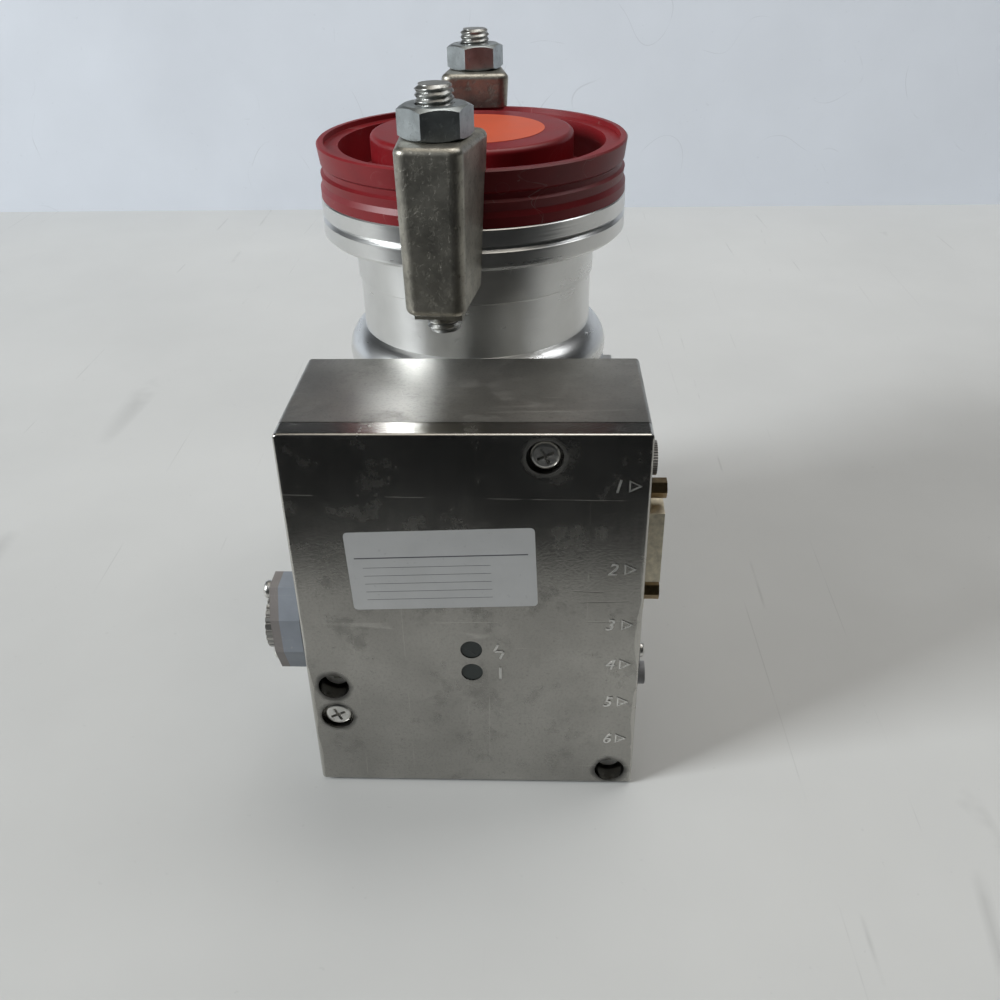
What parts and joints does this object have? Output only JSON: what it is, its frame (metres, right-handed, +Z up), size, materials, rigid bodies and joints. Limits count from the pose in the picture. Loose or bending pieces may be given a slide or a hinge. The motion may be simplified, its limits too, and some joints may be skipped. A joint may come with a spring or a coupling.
{
  "type": "turbomolecular pump",
  "caption": "Turbomolecular pump with an ISO-K inlet under a clamped transit cap, a bladed rotor between stator discs, a drag stage and a box-shaped drive unit on its side.",
  "frame": {"origin": "centre of the base's mounting hole circle, on the pump's axis, in the plane of its base", "axes": "+Z up along the rotor's axis, towards the inlet; -Y towards the front of the drive unit; +Y towards the fore-vacuum port; +X towards the remote connector"},
  "size_m": [0.1137, 0.1756, 0.1924],
  "materials": {
    "turned_aluminium": "bright turned",
    "housing_aluminium": "satin",
    "case_aluminium": "worn, dull",
    "cap_plastic": "satin red",
    "claw_metal": "cast, worn",
    "zinc_steel": "zinc plated",
    "steel": "ground",
    "bearing_steel": "polished",
    "rotor_aluminium": "machined",
    "black_rubber": "matte",
    "felt": "oiled felt",
    "cage_plastic": "matte",
    "carbon_sleeve": "satin",
    "magnet": "nickel plated",
    "copper": "enamelled winding",
    "lamination": "laminated",
    "board_green": "lacquered",
    "black_plastic": "matte",
    "capacitor_sleeve": "sleeve",
    "window_plastic": "smoked",
    "connector_grey": "blue-grey",
    "ring_grey": "brown-grey",
    "disc_metal": "dull",
    "brass": "plain",
    "socket_grey": "grey"
  },
  "bodies": {
    "pump": {"upper_casing": "turned_aluminium", "casing_seal": "black_rubber", "lower_housing": "housing_aluminium", "fore_vacuum_flange": "housing_aluminium", "drive_bracket": "housing_aluminium", "casing_screws": "zinc_steel", "vent_plug": "zinc_steel", "bottom_cover": "housing_aluminium", "cover_seal": "black_rubber", "cover_screws": "zinc_steel", "lubricant_wick": "felt", "bearing_outer_ring": "bearing_steel", "bearing_damper": "black_rubber", "stator_discs": "rotor_aluminium", "spacer_rings": "housing_aluminium", "bearing_star": "rotor_aluminium", "fixed_magnets": "magnet", "inlet_screen": "steel", "drag_stator": "housing_aluminium", "drag_core": "housing_aluminium", "motor_stator": "lamination", "motor_coils": "copper", "transit_cap": "cap_plastic", "inner_claws": "claw_metal", "clamp_studs": "zinc_steel", "drive_case": "case_aluminium", "lid_seal": "black_rubber", "drive_lid": "case_aluminium", "led_windows": "window_plastic", "lid_screws": "zinc_steel", "drive_screws": "zinc_steel", "circuit_board": "board_green", "small_screws": "zinc_steel", "capacitors": "capacitor_sleeve", "power_transistors": "black_plastic", "drive_plug": "black_plastic", "remote_connector_shell": "steel", "remote_insert": "black_plastic", "remote_jackscrews": "brass", "wall_sockets": "black_plastic", "relay_socket": "socket_grey", "power_gasket": "black_rubber", "power_base": "connector_grey", "power_ring": "ring_grey", "power_disc": "disc_metal", "power_screws": "zinc_steel", "power_contacts": "brass"},
    "rotor": {"shaft": "steel", "bladed_rotor": "rotor_aluminium", "drag_sleeve": "carbon_sleeve", "turning_magnets": "magnet", "motor_magnet": "magnet", "bearing_inner_ring": "bearing_steel", "shaft_nut": "steel"},
    "cage": {"bearing_cage": "cage_plastic", "bearing_balls": "bearing_steel"},
    "front_claw": {"front_claw": "claw_metal"},
    "front_nut": {"front_nut": "zinc_steel"},
    "rear_claw": {"rear_claw": "claw_metal"},
    "rear_nut": {"rear_nut": "zinc_steel"}
  },
  "joints": [
    {"name": "rotor_spin", "type": "hinge", "parent": "pump", "child": "rotor", "pos_m": [0, 0, 0.0175], "axis": [0, 0, 1], "continuous": true},
    {"name": "cage_spin", "type": "hinge", "parent": "pump", "child": "cage", "pos_m": [0, 0, 0.0175], "axis": [0, 0, 1], "continuous": true},
    {"name": "front_claw_lift", "type": "slide", "parent": "pump", "child": "front_claw", "axis": [0, 0, 1], "range_m": [0, 0.003]},
    {"name": "front_nut_turn", "type": "hinge", "parent": "front_claw", "child": "front_nut", "pos_m": [-0.00539, -0.05705, 0.18], "axis": [0, 0, 1], "range_deg": [0, 720]},
    {"name": "rear_claw_lift", "type": "slide", "parent": "pump", "child": "rear_claw", "axis": [0, 0, 1], "range_m": [0, 0.003]},
    {"name": "rear_nut_turn", "type": "hinge", "parent": "rear_claw", "child": "rear_nut", "pos_m": [-0.0018, 0.05727, 0.18], "axis": [0, 0, 1], "range_deg": [0, 720]}
  ],
  "couplings": [
    {"joint": "cage_spin", "follows": "rotor_spin", "ratio": 0.368},
    {"joint": "front_nut_turn", "follows": "front_claw_lift", "rad_per_m": 4188.8},
    {"joint": "rear_nut_turn", "follows": "rear_claw_lift", "rad_per_m": 4188.8}
  ]
}
